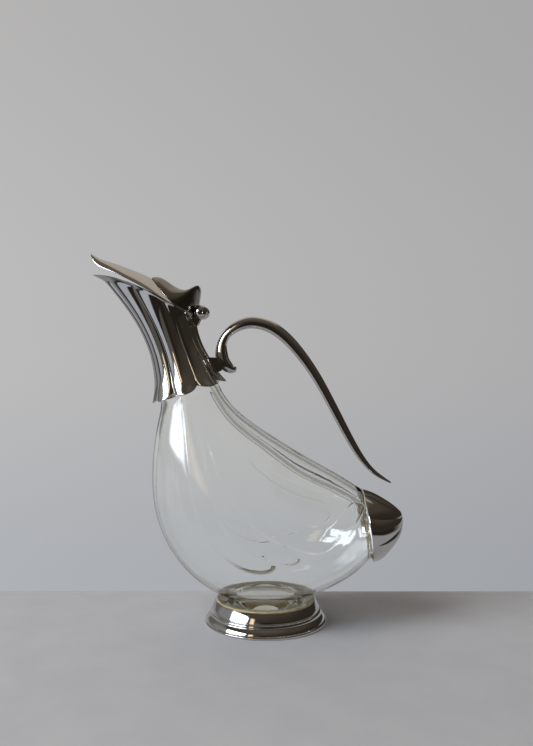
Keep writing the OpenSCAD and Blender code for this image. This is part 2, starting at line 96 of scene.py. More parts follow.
# ---------- meshes ----------
def quads(rows, cols, closed=True, wrap=False):
    """Four-sided faces between rows of points.

    closed joins the ends of each row, and wrap joins the last row to the first."""
    i = np.arange(rows if wrap else rows - 1)[:, None]
    j = np.arange(cols if closed else cols - 1)[None, :]
    a, b = i * cols + j, i * cols + (j + 1) % cols
    c, d = (i + 1) % rows * cols + (j + 1) % cols, (i + 1) % rows * cols + j
    return np.stack([a, b, c, d], -1).reshape(-1, 4).tolist()


def new_mesh(name, points, faces, sharp):
    """A closed mesh in metres, with its faces turned outwards and shaded smooth between sharp edges."""
    mesh = bpy.data.meshes.new(name)
    mesh.from_pydata((np.asarray(points) * MM).tolist(), [], faces)
    bm = bmesh.new()
    bm.from_mesh(mesh)
    bmesh.ops.remove_doubles(bm, verts=bm.verts, dist=1e-7)
    bmesh.ops.recalc_face_normals(bm, faces=bm.faces)
    if bm.calc_volume(signed=True) < 0:
        bmesh.ops.reverse_faces(bm, faces=bm.faces)
    bm.to_mesh(mesh)
    bm.free()
    mesh.polygons.foreach_set("use_smooth", [True] * len(mesh.polygons))
    mesh.set_sharp_from_angle(angle=radians(sharp))
    return mesh


def piece(name, points, faces, paint, body, slot, *nodes, sharp=35):
    """One piece of the jug, which stands for its CAD nodes and rides on a body."""
    obj = bpy.data.objects.new(name, new_mesh(name, points, faces, sharp))
    bpy.context.scene.collection.objects.link(obj)
    obj.data.materials.append(paint)
    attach(obj, body)
    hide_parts(*nodes)
    return obj


def tube(rings, first=None, last=None):
    """Points and faces of a skin over rings, each end closed by a fan round a point, or the ends joined."""
    rings = np.asarray(rings)
    k, n = rings.shape[:2]
    points = rings.reshape(-1, 3)
    if first is None:
        return points, quads(k, n, wrap=True)
    faces = quads(k, n)
    points = np.vstack([points, first, last])
    j = np.arange(n)
    faces += np.stack([(j + 1) % n, j, np.full(n, k * n)], -1).tolist()
    end = (k - 1) * n
    faces += np.stack([end + j, end + (j + 1) % n, np.full(n, k * n + 1)], -1).tolist()
    return points, faces


def rolled(a, b, beyond, steps=5):
    """Rings that round off the edge between rings a and b, bulging away from the ring beyond."""
    middle, half = (a + b) / 2, (a - b) / 2
    out = unit(middle - beyond) * np.linalg.norm(half, axis=-1, keepdims=True)
    turns = np.radians(np.linspace(0, 180, steps + 2)[1:-1])
    return [middle + half * np.cos(w) + out * np.sin(w) for w in turns]


def rounded(outline, radius, steps=4):
    """An outline in (radius, height) with each corner rounded."""
    p = np.array(outline, float)
    out = []
    for i, corner in enumerate(p):
        a, b = p[i - 1] - corner, p[(i + 1) % len(p)] - corner
        la, lb = np.linalg.norm(a), np.linalg.norm(b)
        cut = min(radius, 0.45 * la, 0.45 * lb)
        start, end = corner + a / la * cut, corner + b / lb * cut
        for u in np.linspace(0, 1, steps + 1):
            out.append((1 - u) ** 2 * start + 2 * u * (1 - u) * corner + u * u * end)
    return np.array(out)


def lathe(outline, n=FINE):
    """A closed outline turned about the jug's upright axis."""
    a = np.radians(turn(n))
    r, z = outline[:, 0], outline[:, 1]
    rings = np.stack([r[:, None] * np.cos(a), r[:, None] * np.sin(a), np.repeat(z[:, None], n, 1)], -1)
    return tube(rings)


# ---------- materials ----------
class Nodes:
    """Short calls for a material's or the world's nodes."""

    def __init__(self, owner):
        owner.use_nodes = True
        self.tree = owner.node_tree
        self.tree.nodes.clear()

    def add(self, kind, **settings):
        node = self.tree.nodes.new(kind)
        for key, value in settings.items():
            setattr(node, key, value)
        return node

    def link(self, out, socket):
        self.tree.links.new(out, socket)

    def fill(self, socket, value):
        if isinstance(value, bpy.types.NodeSocket):
            self.link(value, socket)
        else:
            socket.default_value = value

    def math(self, operation, a, b=0.0):
        node = self.add("ShaderNodeMath", operation=operation)
        self.fill(node.inputs[0], a)
        self.fill(node.inputs[1], b)
        return node.outputs[0]

    def mix(self, share, a, b, blend="MIX"):
        node = self.add("ShaderNodeMix", data_type="RGBA", blend_type=blend)
        self.fill(node.inputs["Factor"], share)
        self.fill(node.inputs[6], a)
        self.fill(node.inputs[7], b)
        return node.outputs[2]

    def ramp(self, value, low, high, to_low=0.0, to_high=1.0, smooth=True):
        node = self.add("ShaderNodeMapRange", interpolation_type="SMOOTHSTEP" if smooth else "LINEAR")
        for socket, v in zip(node.inputs[:5], (value, low, high, to_low, to_high)):
            self.fill(socket, v)
        return node.outputs[0]

    def dot(self, vector, direction):
        node = self.add("ShaderNodeVectorMath", operation="DOT_PRODUCT")
        self.link(vector, node.inputs[0])
        node.inputs[1].default_value = direction
        return node.outputs["Value"]

    def noise(self, scale, detail=3.0, roughness=0.5, stretch=None):
        where = self.add("ShaderNodeTexCoord").outputs["Object"]
        if stretch:
            mapping = self.add("ShaderNodeMapping")
            mapping.inputs["Scale"].default_value = stretch
            self.link(where, mapping.inputs["Vector"])
            where = mapping.outputs[0]
        node = self.add("ShaderNodeTexNoise")
        self.link(where, node.inputs["Vector"])
        node.inputs["Scale"].default_value = scale
        node.inputs["Detail"].default_value = detail
        node.inputs["Roughness"].default_value = roughness
        return node.outputs["Fac"]

    def bump(self, height, distance, strength=1.0):
        node = self.add("ShaderNodeBump")
        node.inputs["Strength"].default_value = strength
        node.inputs["Distance"].default_value = distance
        self.link(height, node.inputs["Height"])
        return node.outputs[0]

    def surface(self, **sockets):
        shader = self.add("ShaderNodeBsdfPrincipled")
        for name, value in sockets.items():
            self.fill(shader.inputs[name.replace("_", " ")], value)
        self.link(shader.outputs[0], self.add("ShaderNodeOutputMaterial").inputs["Surface"])


def silver_material(name, tone, dull):
    """Silver plate, a little warm, with faint wear and fine rubbing marks."""
    material = bpy.data.materials.new(name)
    n = Nodes(material)
    patches = n.noise(70.0, 4.0, 0.6)
    marks = n.noise(900.0, 2.0, 0.6, stretch=(1.0, 0.25, 1.0))
    colour = n.mix(n.ramp(patches, 0.35, 0.7), (*tone, 1), (*(0.9 * c for c in tone), 1))
    rubbed = n.ramp(marks, 0.45, 0.75, 0.0, 0.05)
    rough = n.math("ADD", n.ramp(patches, 0.3, 0.75, dull, dull + 0.04), rubbed)
    n.surface(Base_Color=colour, Metallic=1.0, Roughness=rough, Normal=n.bump(marks, 0.000002))
    return material


def glass_material():
    """Clear blown glass, slightly uneven, with painted olive shade: crescents at the feather tips and lines
    along the back's creases where refraction darkens it, the base where it is partly the thick glass's own
    tint, and a dark line at its edges.
    """
    material = bpy.data.materials.new("glass")
    n = Nodes(material)
    waves = n.noise(38.0, 1.0, 0.4)
    tint = n.mix(n.noise(25.0, 1.0), (0.998, 1.0, 0.997, 1), (0.990, 0.996, 0.989, 1))
    # painted olive shade from the thick attribute, on faces seen from outside
    thick = n.add("ShaderNodeAttribute", attribute_name="thick").outputs["Fac"]
    entering = n.math("SUBTRACT", 1.0, n.add("ShaderNodeNewGeometry").outputs["Backfacing"])
    tint = n.mix(n.math("MULTIPLY", thick, entering), tint, (0.36, 0.34, 0.24, 1))
    # a painted dark line along the silhouettes at grazing angles, where refraction darkens the glass, partly
    # its own tint along the long path there
    edge = n.add("ShaderNodeLayerWeight")
    edge.inputs["Blend"].default_value = 0.5
    edge_shade = n.math("MULTIPLY", n.ramp(edge.outputs["Facing"], 0.64, 0.88), entering)
    tint = n.mix(edge_shade, tint, (0.30, 0.31, 0.26, 1))
    n.surface(Base_Color=tint, Transmission_Weight=1.0, IOR=1.5, Roughness=0.0,
              Normal=n.bump(waves, 0.0006, 0.6))
    return material


def cement_material():
    """Old plaster cement, yellowed unevenly. Its faint glow stands for light that the glass gathers."""
    material = bpy.data.materials.new("cement")
    n = Nodes(material)
    blotches = n.noise(120.0, 4.0, 0.6)
    grain = n.noise(1400.0, 3.0, 0.6)
    colour = n.mix(n.ramp(blotches, 0.35, 0.65), (0.50, 0.36, 0.11, 1), (0.64, 0.52, 0.27, 1))
    n.surface(Base_Color=colour, Roughness=n.ramp(grain, 0.3, 0.7, 0.55, 0.85),
              Emission_Color=(0.55, 0.50, 0.36, 1), Emission_Strength=0.1, Normal=n.bump(grain, 0.00008))
    return material


SILVER = silver_material("silver_plate", (0.68, 0.655, 0.62), 0.045)
# a darker, duller copy of the silver for the lid's crest, painted shade for its darker look
SHADED_SILVER = silver_material("silver_painted_shade", (0.34, 0.315, 0.28), 0.22)
GLASS = glass_material()
CEMENT = cement_material()

# ---------- places that the pieces share ----------
NECK = np.array([-58.0, 176.0])                 # centre of the mount's lower edge
TAIL = np.array([78.4, 73.3])                   # centre of the cap's rim
NECK_DIR = unit(np.array([-16.8, 55.6]))        # up the neck
NECK_SIDE = np.array([NECK_DIR[1], -NECK_DIR[0]])
TAIL_DIR = unit(np.array([55.7, 8.3]))          # out of the tail cap
TAIL_UP = np.array([-TAIL_DIR[1], TAIL_DIR[0]])
TAIL_C = TAIL + 1.1 * TAIL_UP
NECK_R, NECK_IN = 22.8, 17.0                    # radius at the mount, length inside it
NECK_TOP_R = NECK_R - 4.8
TAIL_R, TAIL_IN, TAIL_K = 24.4, 10.0, 0.8       # half height at the cap, length and taper inside it
GLASS_WALL = 2.6                                # in the neck and the tail
WALL_LOW, WALL_HIGH = 2.2, 3.5                  # in the body, low and high up
PAD_R, PAD_Z, PAD_TOP = 36.5, 8.8, 17.9         # the round pad that stands in the foot
FLOOR_Z = PAD_Z + 12.0                          # the inner floor
HINGE = np.array(frame["joints"][0]["pos_m"]) / MM


# ---------- glass body ----------
def neck_row(s, r):
    """Back x, z, belly x, z and half the width of a round section of the neck, s along it."""
    c = NECK + s * NECK_DIR
    return [*(c + r * NECK_SIDE), *(c - r * NECK_SIDE), r]


def tail_row(s, k, inset=0.0):
    c = TAIL_C + s * TAIL_DIR - 0.35 * s * TAIL_UP
    r = k * TAIL_R - inset
    return [*(c + r * TAIL_UP), *(c - r * TAIL_UP), k * (TAIL_R + 0.3) - inset]


BODY = spline([
    neck_row(0, NECK_R), neck_row(-4, NECK_R + 0.9),
    [-25.3, 166.0, -84.0, 144.5, 27], [-10.3, 153.0, -86.8, 115.6, 34.5],
    [12.6, 137.7, -83.9, 81.5, 43], [35.5, 124.0, -66.8, 46.0, 48.5],
    [53.9, 113.9, -31.4, 18.7, 50], [66.2, 106.2, 15.0, 15.4, 46.5],
    [72.4, 101.8, 60.6, 32.0, 36], tail_row(0, 1)])
BODY_END = 9

# The wings are moulded in the glass: nested feathers, each a step up from the one before it,
# as side-view points (x, z) from the neck to the feather's tip
FEATHERS = [
    [(-62, 172), (-60.3, 160), (-58.9, 142.5), (-57.4, 127), (-55.7, 114), (-54.1, 104), (-51.1, 93),
     (-46.8, 82), (-41, 71.5), (-34.6, 62.5), (-26.7, 56), (-18, 50.5), (-9.6, 48), (-1.7, 47.5),
     (4.7, 49.5), (9.6, 53.5)],
    [(-51, 169.5), (-49, 156.5), (-46.7, 142.5), (-44.2, 130), (-41.8, 117), (-38.8, 102), (-33.3, 85.5),
     (-25, 74.5), (-15.2, 67), (-5.3, 62), (4.7, 57.5), (11, 54.7), (17.4, 54), (23, 56), (26.6, 59)],
    [(-45.5, 154), (-40.8, 138.5), (-35.4, 123), (-29.5, 109.5), (-20.9, 96.5), (-10.9, 85), (-1, 77),
     (9, 71.5), (19.5, 67), (29.4, 63.7), (38.8, 62.7), (46.7, 65.5), (52.6, 71.5), (56.3, 77.5)],
    [(-16.3, 134), (-9.7, 125), (-2.9, 119), (4.7, 113), (12.4, 108.5), (20.5, 104.5), (29, 101.3),
     (37, 98.8), (45, 96)]]
# Height of each step at the neck and at the feather's tip, and its width at both
FEATHER_STEPS = [(0.5, 2.2, 1.6, 2.6), (0.4, 2.0, 1.8, 2.2), (0.7, 1.3, 1.8, 1.6), (0.5, 0.6, 1.0, 1.0)]
FEATHER_FALL = 12.0                             # length of the fall behind each step
# The crease between the wing and the back
BACK_LINE = [(-42, 182), (-36.5, 173.5), (-26.5, 157.8), (-10.5, 144.3), (6.5, 132.2), (23.4, 119.6),
             (40.4, 111), (57.6, 102.7), (74.5, 92)]
BACK_STEP, BACK_WIDTH, BACK_FALL = 1.5, 4.4, 14.0
BACK_DIP = 0.7                                  # how far the strip between the two creases lies lower
INSIDE_RELIEF = 0.3                             # share of the relief that shows inside too
FLANK_INSET = 2.0                               # how far the widest part gives way to the feathers
BELLY_CUT = 20.0                                # height where the belly gives way to the base
TROUGH_R, TROUGH_Z = 22.5, 14.6                 # the lowest line of the trough between belly and pad
# Painted olive shade on the glass, for the dark crescents that refraction makes at the feather tips: feather,
# share of it passed, width of the crescent and its strength
OLIVE_TIPS = [(0, 0.62, 3.4, 1), (1, 0.80, 2.6, 1), (3, 0.02, 1.0, 0.35)]
# Strength of the painted olive in the base, partly the thick glass's own tint, and of the painted shade along
# the back's crease
OLIVE_BASE, OLIVE_BACK = 0.8, 0.9
BASE_TOP = PAD_TOP + 0.2


def section(rows, a):
    a = np.radians(a)
    c, h = (rows[..., 0:2] + rows[..., 2:4]) / 2, (rows[..., 0:2] - rows[..., 2:4]) / 2
    xz = c[..., None, :] + h[..., None, :] * np.cos(a)[:, None]
    y = -rows[..., 4:5] * np.sin(a)
    return np.stack([xz[..., 0], y, xz[..., 1]], -1)


def body_points(t, a):
    return section(at(BODY, t), a)


def body_normals(t, a, e=0.03):
    across = body_points(t, a + 2) - body_points(t, a - 2)
    along = body_points(t + e, a) - body_points(np.maximum(t - e, 0), a)
    return unit(np.cross(across, along))


def side_distance(line, points):
    """Distance in the side view from a smooth line, and the share of the line that is passed.

    The distance is above 0 on the line's left, seen along it."""
    curve = spline(line)
    share = np.linspace(0, 1, 90)
    path = at(curve, share * (len(line) - 1))
    best = np.full(len(points), 1e9)
    signed = np.zeros(len(points))
    passed = np.zeros(len(points))
    for i in range(len(path) - 1):
        a, d = path[i], path[i + 1] - path[i]
        u = np.clip(((points - a) @ d) / (d @ d), 0, 1)
        gap = points - a - u[:, None] * d
        dist = np.linalg.norm(gap, axis=1)
        nearer = dist < best
        side = np.sign(d[0] * gap[:, 1] - d[1] * gap[:, 0])
        best = np.where(nearer, dist, best)
        signed = np.where(nearer, dist * side, signed)
        passed = np.where(nearer, share[i] + u * (share[i + 1] - share[i]), passed)
    return signed, passed


def step_height(line, step, fall, points, fade_in, fade_out):
    """A step up across a line, which falls off slowly behind it and grows along it."""
    d, share = side_distance(line, points)
    grown = smooth_step(0.35, 0.85, share)
    height = step[0] + (step[1] - step[0]) * grown
    half = (step[2] + (step[3] - step[2]) * grown) / 2
    ends = smooth_step(0, fade_in, share) * smooth_step(1, 1 - fade_out, share)
    return height * ends * smooth_step(-half, half, d) * np.exp(-np.maximum(d, 0) / fall)


def relief(points):
    """Height of the moulded wings above the smooth body."""
    side = points[:, [0, 2]]
    height = np.zeros(len(points))
    for line, step in zip(FEATHERS, FEATHER_STEPS):
        height += step_height(line, step, FEATHER_FALL, side, 0.12, 0.06)
    back = (BACK_STEP + BACK_DIP, BACK_STEP + BACK_DIP, BACK_WIDTH, BACK_WIDTH)
    height += step_height(BACK_LINE[::-1], back, BACK_FALL, side, 0.01, 0.05) - BACK_DIP
    from_neck = (side - NECK) @ -NECK_DIR
    from_tail = (side - TAIL) @ -TAIL_DIR
    return height * smooth_step(1, 9, from_neck) * smooth_step(0.3, 5, from_tail)


def flank_inset(points):
    """How far the widest part lies inside the smooth body, to leave room for the feathers."""
    side = points[:, [0, 2]]
    away = smooth_step(2, 14, (side - NECK) @ -NECK_DIR) * smooth_step(1, 12, (side - TAIL) @ -TAIL_DIR)
    return FLANK_INSET * smooth_step(26, 46, np.abs(points[:, 1])) * away


def olive(points):
    """How much painted olive shade the glass takes: in crescents at feather tips and along the back's
    creases, where refraction darkens it, and in the base, where it is partly the thick glass's own tint.
    """
    side = points[:, [0, 2]]
    tone = np.where(points[:, 2] < BASE_TOP, OLIVE_BASE, 0.0)
    for feather, start, wide, full in OLIVE_TIPS:
        d, share = side_distance(FEATHERS[feather], side)
        grown = smooth_step(start, start + 0.14, share) * smooth_step(1, 0.94, share)
        band = smooth_step(-0.6, 0.3, d) * smooth_step(wide, 0.6 * wide, d)
        tone = np.maximum(tone, full * grown * band * (np.abs(points[:, 1]) > 25))
    d = np.abs(side_distance(BACK_LINE, side)[0])
    return np.maximum(tone, OLIVE_BACK * smooth_step(1.2, 0.3, d) * (np.abs(points[:, 1]) > 6))


def base_rings(loop):
    """Rings below the loop where the belly is cut: into the trough, over the pad and under it."""
    a = np.arctan2(loop[:, 1], loop[:, 0])
    r, z = np.hypot(loop[:, 0], loop[:, 1]), loop[:, 2]
    rings = []
    for u in np.linspace(0.15, 1, 8):
        rr = r + (TROUGH_R - r) * u
        zz = z + (TROUGH_Z - z) * u - 2.4 * u * (1 - u)
        rings.append(np.stack([rr * np.cos(a), rr * np.sin(a), zz], -1))
    pad = [(TROUGH_R + 0.5, TROUGH_Z - 0.1), (TROUGH_R + 1.4, TROUGH_Z + 0.1),
           (TROUGH_R + 4, TROUGH_Z + 0.9), (TROUGH_R + 8, TROUGH_Z + 2.2), (PAD_R - 3, PAD_TOP - 0.3),
           (PAD_R - 0.9, PAD_TOP), (PAD_R - 0.25, PAD_TOP - 0.2), (PAD_R, PAD_TOP - 0.8),
           (PAD_R, PAD_Z + 0.5), (PAD_R - 0.5, PAD_Z), (PAD_R - 6.5, PAD_Z), (PAD_R - 7.3, PAD_Z + 0.4),
           (PAD_R - 9.5, PAD_Z + 1.7), (PAD_R - 11, PAD_Z + 2), (PAD_R - 20, PAD_Z + 2)]
    for rr, zz in pad:
        rings.append(np.stack([rr * np.cos(a), rr * np.sin(a), np.full(len(a), zz)], -1))
    return rings


def body_outer(n):
    """The outside as rings from the neck's top to the tail's dome."""
    a = turn(n)
    t = np.linspace(0, BODY_END, 330)
    skin = body_points(t, a)
    flat = skin.reshape(-1, 3)
    skin += body_normals(t, a) * (relief(flat) - flank_inset(flat)).reshape(skin.shape[:2])[..., None]
    neck = section(np.array([neck_row(s, NECK_R + (NECK_TOP_R - NECK_R) * s / NECK_IN)
                             for s in np.linspace(NECK_IN - 0.6, 0.5, 14)]), a)
    dome = ((1.4, 0.74), (2.7, 0.66), (3.8, 0.56), (4.6, 0.46), (5.2, 0.34), (5.6, 0.18))
    tail = section(np.array([tail_row(TAIL_IN * u, 1 + (TAIL_K - 1) * u) for u in np.linspace(0.1, 1, 8)]
                            + [tail_row(TAIL_IN + s, k) for s, k in dome]), a)
    return np.concatenate([neck, skin, tail])


def body_inner(n):
    """The inside as rings from the neck's top to the tail's dome."""
    a = turn(n)
    t = np.linspace(0.3, BODY_END - 0.15, 170)
    outside = body_points(t, a)
    flat = outside.reshape(-1, 3)
    wall = WALL_LOW + (WALL_HIGH - WALL_LOW) * smooth_step(50, 140, flat[:, 2])
    offset = INSIDE_RELIEF * relief(flat) - flank_inset(flat) - wall
    skin = outside + body_normals(t, a) * offset.reshape(outside.shape[:2])[..., None]
    skin[..., 2] = soft_floor(skin[..., 2], FLOOR_Z, 1.0)
    top, top_r = NECK_IN - 2, NECK_TOP_R - GLASS_WALL
    neck = section(np.array([neck_row(NECK_IN - 0.6, top_r)]
                            + [neck_row(s, top_r + (NECK_R - NECK_TOP_R) * (top - s) / top)
                               for s in (top, 12, 9, 6, 3, 0)]), a)
    tail = section(np.array([tail_row(TAIL_IN + s, k, GLASS_WALL)
                             for s, k in ((-1, TAIL_K), (1.2, 0.66), (2.5, 0.48), (3.1, 0.28))]), a)
    return np.concatenate([neck, skin, tail])


def cut_belly(bm, outside):
    """Cut the outer skin off below the belly, and give the vertices along the cut in their order round it."""
    kept = set(outside)
    skin = [f for f in bm.faces if all(v in kept for v in f.verts)]
    edges = {e for f in skin for e in f.edges}
    bmesh.ops.bisect_plane(bm, geom=outside + list(edges) + skin, dist=1e-5,
                           plane_co=(0, 0, BELLY_CUT), plane_no=(0, 0, 1), clear_inner=True)
    rim = {v for e in bm.edges if e.is_boundary for v in e.verts}
    return sorted(rim, key=lambda v: np.arctan2(v.co[1], v.co[0]))


def close_base(bm, loop):
    """Faces from the loop along the cut, over the base, to its middle."""
    previous = loop
    for ring in base_rings(np.array([v.co[:] for v in loop])):
        current = [bm.verts.new(p) for p in ring]
        for j in range(len(ring)):
            k = (j + 1) % len(ring)
            bm.faces.new((previous[j], previous[k], current[k], current[j]))
        previous = current
    middle = bm.verts.new((0, 0, PAD_Z + 2.0))
    for j in range(len(previous)):
        bm.faces.new((previous[j], previous[(j + 1) % len(previous)], middle))


def glass_body():
    """One closed mesh: the outside, folded over at the neck's top into the inside, with its base below."""
    n = 400
    outer, inner = body_outer(n), body_inner(n)
    tip = TAIL_C + (TAIL_IN + 5.8) * TAIL_DIR - 3.5 * TAIL_UP
    tip_in = TAIL_C + (TAIL_IN + 3.4) * TAIL_DIR - 3.0 * TAIL_UP
    rings = np.concatenate([inner[::-1], rolled(inner[0], outer[0], outer[2]), outer])
    points, faces = tube(rings, [tip_in[0], 0, tip_in[1]], [tip[0], 0, tip[1]])
    mesh = bpy.data.meshes.new("glass_whole")
    mesh.from_pydata(points.tolist(), [], faces)
    bm = bmesh.new()
    bm.from_mesh(mesh)
    bm.verts.ensure_lookup_table()
    inner_count, tip_in_index = len(inner) * n, len(points) - 2
    outside = [v for v in bm.verts if v.index >= inner_count and v.index != tip_in_index]
    close_base(bm, cut_belly(bm, outside))
    bm.verts.index_update()
    points = np.array([v.co[:] for v in bm.verts])
    faces = [[v.index for v in f.verts] for f in bm.faces]
    bm.free()
    bpy.data.meshes.remove(mesh)
    obj = piece("glass_body_blown", points, faces, GLASS, "jug", "glass", "glass_body", sharp=50)
    places = np.array([v.co[:] for v in obj.data.vertices]) / MM
    outwards = np.array([v.normal[1] * v.co[1] > 0 for v in obj.data.vertices])
    # The thick attribute carries the painted olive shade, on faces that look out to the side and on the base
    thick = obj.data.attributes.new("thick", "FLOAT", "POINT")
    thick.data.foreach_set("value", olive(places) * (outwards | (places[:, 2] < BASE_TOP)))


# ---------- foot ----------
FOOT_R, FOOT_H = 46.5, 17.0
CEMENT_T, BEAD_H, SHELF_W, FOOT_WALL = 0.4, 1.1, 4.5, 1.2
CONTACT = 0.05                 # the cement reaches this far into the glass, so that it shows through it


def foot():
    r, h = FOOT_R, FOOT_H
    top = PAD_R + CEMENT_T + 1.1
    band = top + 3.4
    shelf = PAD_Z - CEMENT_T
    outline = [
        (r - 1.6, 0), (r - 0.5, 0.35), (r, 1.1), (r, 1.6), (r - 0.5, 2.2), (r - 1.2, 2.5),
        (r - 1.5, 3.4), (r - 2.1, 4.6), (r - 3.0, 5.8), (r - 3.9, h - 10.1), (r - 4.0, h - 9.3),
        (r - 4.3, h - 8.2), (r - 5.0, h - 7.7), (r - 5.7, h - 7.5), (band - 0.2, h - 7.1),
        (band - 0.8, h - 5.4), (band - 1.7, h - 3.4), (band - 2.6, h - 1.6), (top, h - 0.2),
        (top - 0.3, h), (PAD_R + CEMENT_T, h), (PAD_R + CEMENT_T, shelf), (PAD_R - SHELF_W, shelf),
        (PAD_R - SHELF_W, shelf - FOOT_WALL), (r - 5.0 - FOOT_WALL, shelf - FOOT_WALL),
        (r - 3.9 - FOOT_WALL, 5.6), (r - 2.6 - FOOT_WALL, 3), (r - 1.8 - FOOT_WALL, 0)]
    points, faces = lathe(rounded(outline, 0.6))
    piece("foot_spun", points, faces, SILVER, "jug", "silver_plate", "foot", sharp=60)


def foot_cement():
    """The cement under the pad and the uneven bead squeezed out above the foot."""
    a, b, inner = PAD_R - CONTACT, PAD_R + CEMENT_T, PAD_R - SHELF_W + 0.4
    outline = rounded([
        (inner, PAD_Z - CEMENT_T), (b, PAD_Z - CEMENT_T), (b, FOOT_H), (b + 0.5, FOOT_H),
        (b + 0.45, FOOT_H + BEAD_H * 0.5), (b, FOOT_H + BEAD_H * 0.9), (a, FOOT_H + BEAD_H), (a, PAD_Z),
        (inner, PAD_Z)], 0.2)
    points, faces = lathe(outline)
    angle = np.arctan2(points[:, 1], points[:, 0])
    uneven = 0.5 + 0.22 * np.sin(7 * angle + 1) + 0.17 * np.sin(17 * angle + 2) + 0.11 * np.sin(41 * angle)
    above = points[:, 2] > FOOT_H + 0.02
    points[above, 2] -= ((points[above, 2] - FOOT_H) * 0.45 * uneven[above])
    piece("foot_cement_bead", points, faces, CEMENT, "jug", "cement", "foot_cement", sharp=60)


# ---------- neck mount ----------
MOUNT_WALL, PETAL_FLARE, PETAL_DROP, MOUTH_W = 1.2, 5.2, 3.6, 41.0
COLLAR_R = NECK_R + PETAL_FLARE + MOUNT_WALL
# Centre x, z from the neck, half length, slope, half width, depth of the flutes, egg shape, bow, droop
MOUNT = spline([
    [0, 0, COLLAR_R, 16.8, COLLAR_R, 1 - (NECK_R + 0.8) / COLLAR_R, 0, 0, PETAL_DROP],
    [-1.8, 6.2, NECK_R + 3.3, 17.0, NECK_R + 3.3, 0.12, 0, 0, PETAL_DROP * 0.4],
    [-4.2, 15, NECK_R + 0.4, 16.5, NECK_R + 0.4, 0.1, 0, 0, 0],
    [-7.4, 25.4, 21.2, 11.3, 21.0, 0.1, 0.02, 0, 0], [-10.3, 33.4, 20.7, 6.4, 19.8, 0.105, 0.05, 0, 0],
    [-13.9, 42.7, 21.7, -0.5, 19.2, 0.105, 0.1, 0.1, 0], [-18.3, 52.4, 24.7, -7.9, 19.0, 0.1, 0.18, 0.5, 0],
    [-23.1, 61.3, 29.7, -14.4, 19.3, 0.095, 0.27, 1.2, 0],
    [-28.1, 68.5, 35.7, -20.2, MOUTH_W / 2 - 0.5, 0.095, 0.35, 2.4, 0],
    [-30.3, 70.8, 38.2, -21.1, MOUTH_W / 2 - 0.3, 0.07, 0.38, 3, 0],
    [-33.8, 72.9, 41.9, -21.2, MOUTH_W / 2, 0, 0.4, 4, 0]])
MOUNT_END = 10


def fluted(rows, a):
    rad, groove = np.radians(a), 1 - petal(a) ** 0.8
    c, s = np.cos(rad), np.sin(rad)
    x, z, half, slope, w, depth, egg, bow, droop = (rows[..., i:i + 1] for i in range(9))
    p = 1 - depth * groove
    along = half * p * c
    lift = bow * s ** 2 * (1 - c) + droop * groove
    slope = np.radians(slope)
    return np.stack([NECK[0] + x + along * np.cos(slope) - lift * np.sin(slope),
                     -w * p * s * (1 + egg * c),
                     NECK[1] + z + along * np.sin(slope) + lift * np.cos(slope)], -1)


def mount_points(t, a):
    return fluted(at(MOUNT, t), a)


def mount_inside(t, a):
    across = mount_points(t, a + 2) - mount_points(t, a - 2)
    along = mount_points(t + 0.03, a) - mount_points(np.maximum(t - 0.03, 0), a)
    return mount_points(t, a) + MOUNT_WALL * unit(np.cross(across, along))


def lip_inside(a):
    row = at(MOUNT, MOUNT_END) - [0, 0, MOUNT_WALL, 0, MOUNT_WALL, 0, 0, 0, 0]
    return fluted(row, a)


def neck_mount():
    a = turn()
    t = np.concatenate([np.linspace(0, 9.2, 140), np.linspace(9.25, MOUNT_END, 16)])
    outer = mount_points(t, a)
    inner = np.concatenate([mount_inside(t[t < 9.6], a), [lip_inside(a)]])
    rings = np.concatenate([inner, rolled(inner[-1], outer[-1], (inner[-2] + outer[-4]) / 2),
                            outer[::-1], rolled(outer[0], inner[0], (inner[6] + outer[6]) / 2)])
    points, faces = tube(rings)
    piece("neck_mount_cast", points, faces, SILVER, "jug", "silver_plate", "neck_mount", sharp=32)


# ---------- lid ----------
LID_WALL, LID_GAP, LID_TIP = 1.2, 0.35, 1.2
LID_DOME = 0.95                 # 0.5 is an ellipse across the lid, and 1 a parabola
MOUTH = at(MOUNT, MOUNT_END)
# u along the lid, lift of its rim off the mouth, height of its crown above its rim
LID = spline([
    [0.985, 0, 3.6], [0.9, 0, 5.8], [0.7, 0.15, 7.2], [0.45, 0.4, 8.6], [0.2, 1, 9.6], [-0.05, 1.4, 9.2],
    [-0.3, 2.1, 8], [-0.52, 3.4, 6.9], [-0.72, 4.9, 6.2], [-0.86, 7.0, 5.2], [-0.95, 10.8, 3.6],
    [-1, 15, 0.9]])
LID_END = 11
# The crest's rows: share of the lid's width that it covers, place along the lid, and the top's x and z
# from the hinge
COVER = [0.97, 0.97, 0.97, 0.97, 0.97, 0.95, 0.88, 0.74, 0.5, 0.1]
COVER_T = [0, 0.4, 0.8, 1.3, 1.8, 2.3, 2.8, 3.3, 3.8, 4.3]
CREST = [[-2.2, 5.2], [-1.4, 11.4], [-0.9, 17.2], [-2.5, 20.3], [-5.6, 18.9],
         [-10.4, 16.8], [-17.0, 17.9], [-24.2, 22.2], [-31.2, 26.6], [-37.2, 26.7]]
CREST_EDGE = 0.7


def lid_points(t, v, inset):
    """Points at an inset below the lid's outside: t along it from the hinge, v across it from -1 to 1."""
    row = at(LID, t)
    u, lift, crown = (row[..., i:i + 1] for i in range(3))
    angle = np.degrees(np.arccos(np.clip(u[..., 0], -1, 1)))
    rim = np.stack([fluted(MOUTH, np.array([w]))[0] for w in angle])[:, None, :]
    front = np.maximum(0, (-0.5 - u) / 0.5)
    half = MOUTH[4] * np.sin(np.radians(angle))[:, None] * (1 + MOUTH[6] * u)
    w = np.maximum(0.5, half + 0.6 * front) - inset
    dome = np.maximum(0, 1 - v ** 2) ** LID_DOME
    return np.stack([np.broadcast_to(rim[..., 0] - LID_TIP * front ** 2, v.shape), -w * v,
                     rim[..., 2] + LID_GAP + lift + np.maximum(0.3, crown - inset) * dome], -1)


